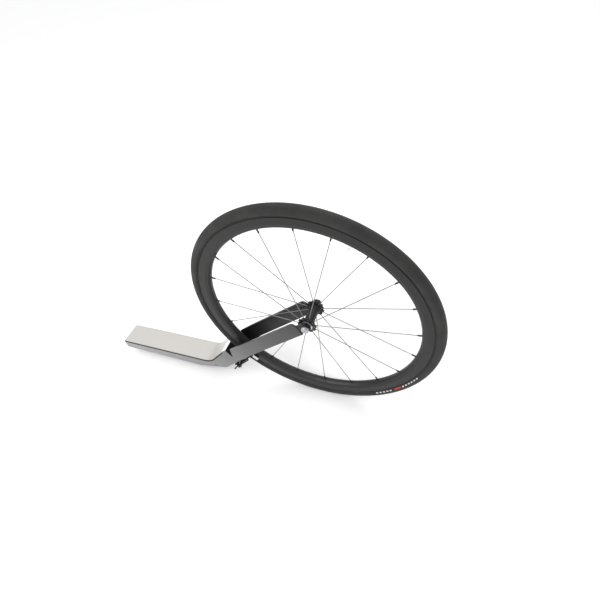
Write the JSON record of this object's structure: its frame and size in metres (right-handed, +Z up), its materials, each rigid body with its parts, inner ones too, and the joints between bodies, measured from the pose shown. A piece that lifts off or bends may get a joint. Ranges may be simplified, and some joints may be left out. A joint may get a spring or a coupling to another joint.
{
  "type": "quick-release wheel in one-piece fork and deck beam",
  "caption": "Slim deck beam that bends up into two carbon blades holding a spoked quick-release wheel, with a dual-pivot rim brake under the crown.",
  "frame": {"origin": "middle of the four mounting screws on the beam's rear end face", "axes": "+X along the beam from the mounting face towards the wheel, +Y the lever side of the axle, +Z up"},
  "size_m": [1.0735, 0.1084, 0.687],
  "materials": {
    "carbon": "satin",
    "plate": "satin",
    "seal": "matte",
    "tyre": "matte",
    "rim_black": "satin",
    "alloy_black": "satin",
    "alloy_silver": "polished",
    "steel": "polished",
    "pad_rubber": "matte",
    "tape": "matte"
  },
  "bodies": {
    "frame": {"carbon_frame": "carbon", "deck_gasket": "seal", "deck_plate": "plate", "crown_cover": "alloy_silver", "mount_block": "alloy_silver", "side_plugs": "seal", "dropout_right": "alloy_black", "dropout_left": "alloy_black", "brake_bolt": "steel", "brake_nut": "steel", "brake_spacer": "alloy_silver", "brake_bracket": "alloy_black", "side_pivot": "steel", "return_spring": "steel"},
    "axle": {"hub_axle": "alloy_black", "bearing_inner_races": "steel", "end_cap_right": "alloy_black", "end_cap_left": "alloy_black", "cam_housing": "alloy_black", "skewer_spring_left": "steel"},
    "wheel": {"tyre": "tyre", "inner_tube": "seal", "rim": "rim_black", "rim_tape": "tape", "spokes_right": "steel", "spokes_left": "steel", "nipples_right": "alloy_black", "nipples_left": "alloy_black", "valve_stem": "alloy_silver", "valve_nut": "alloy_silver", "valve_cap": "seal", "hub_shell": "alloy_black", "bearing_outer_races": "steel", "bearing_balls": "steel", "dust_rings": "alloy_silver"},
    "lever": {"skewer_lever": "alloy_black"},
    "skewer": {"skewer_rod": "steel", "skewer_spring_right": "steel"},
    "nut": {"skewer_nut": "alloy_silver"},
    "arm_left": {"brake_arm_left": "alloy_black", "brake_pad_left": "pad_rubber", "pad_holder_left": "alloy_silver", "pad_bolt_left": "steel"},
    "arm_right": {"brake_arm_right": "alloy_black", "brake_pad_right": "pad_rubber", "pad_holder_right": "alloy_silver", "pad_bolt_right": "steel", "cable_anchor": "steel"},
    "release": {"release_lever": "alloy_black"},
    "adjuster": {"barrel_adjuster": "alloy_black"}
  },
  "joints": [
    {"name": "axle_drop", "type": "slide", "parent": "frame", "child": "axle", "axis": [0.6157, 0, -0.788], "range_m": [0, 0.012]},
    {"name": "wheel_spin", "type": "hinge", "parent": "axle", "child": "wheel", "pos_m": [0.73, 0, 0.3015], "axis": [0, 1, 0], "continuous": true},
    {"name": "lever_swing", "type": "hinge", "parent": "axle", "child": "lever", "pos_m": [0.73, 0.0496, 0.3015], "axis": [0.6198, 0, -0.7848], "range_deg": [0, 180]},
    {"name": "skewer_slide", "type": "slide", "parent": "axle", "child": "skewer", "axis": [0, -1, 0], "range_m": [0, 0.0026]},
    {"name": "nut_turn", "type": "hinge", "parent": "skewer", "child": "nut", "pos_m": [0.73, -0.0475, 0.3015], "axis": [0, -1, 0], "continuous": true},
    {"name": "brake_left_arm", "type": "hinge", "parent": "frame", "child": "arm_left", "pos_m": [0.46345, 0, 0.0461], "axis": [0.723, 0, -0.6909], "range_deg": [-1.25, 1.25]},
    {"name": "brake_right_arm", "type": "hinge", "parent": "frame", "child": "arm_right", "pos_m": [0.46713, -0.019, 0.03981], "axis": [0.723, 0, -0.6909], "range_deg": [-1.25, 1.25]},
    {"name": "release_swing", "type": "hinge", "parent": "arm_left", "child": "release", "pos_m": [0.45616, -0.0335, 0.03232], "axis": [0.723, 0, -0.6909], "range_deg": [0, 80]},
    {"name": "adjuster_turn", "type": "hinge", "parent": "arm_left", "child": "adjuster", "pos_m": [0.44791, -0.0275, 0.02983], "axis": [0.6909, 0, 0.723], "continuous": true}
  ],
  "couplings": [
    {"joint": "skewer_slide", "follows": "lever_swing", "m_per_rad": 0.0008},
    {"joint": "brake_right_arm", "follows": "brake_left_arm", "ratio": -1}
  ]
}
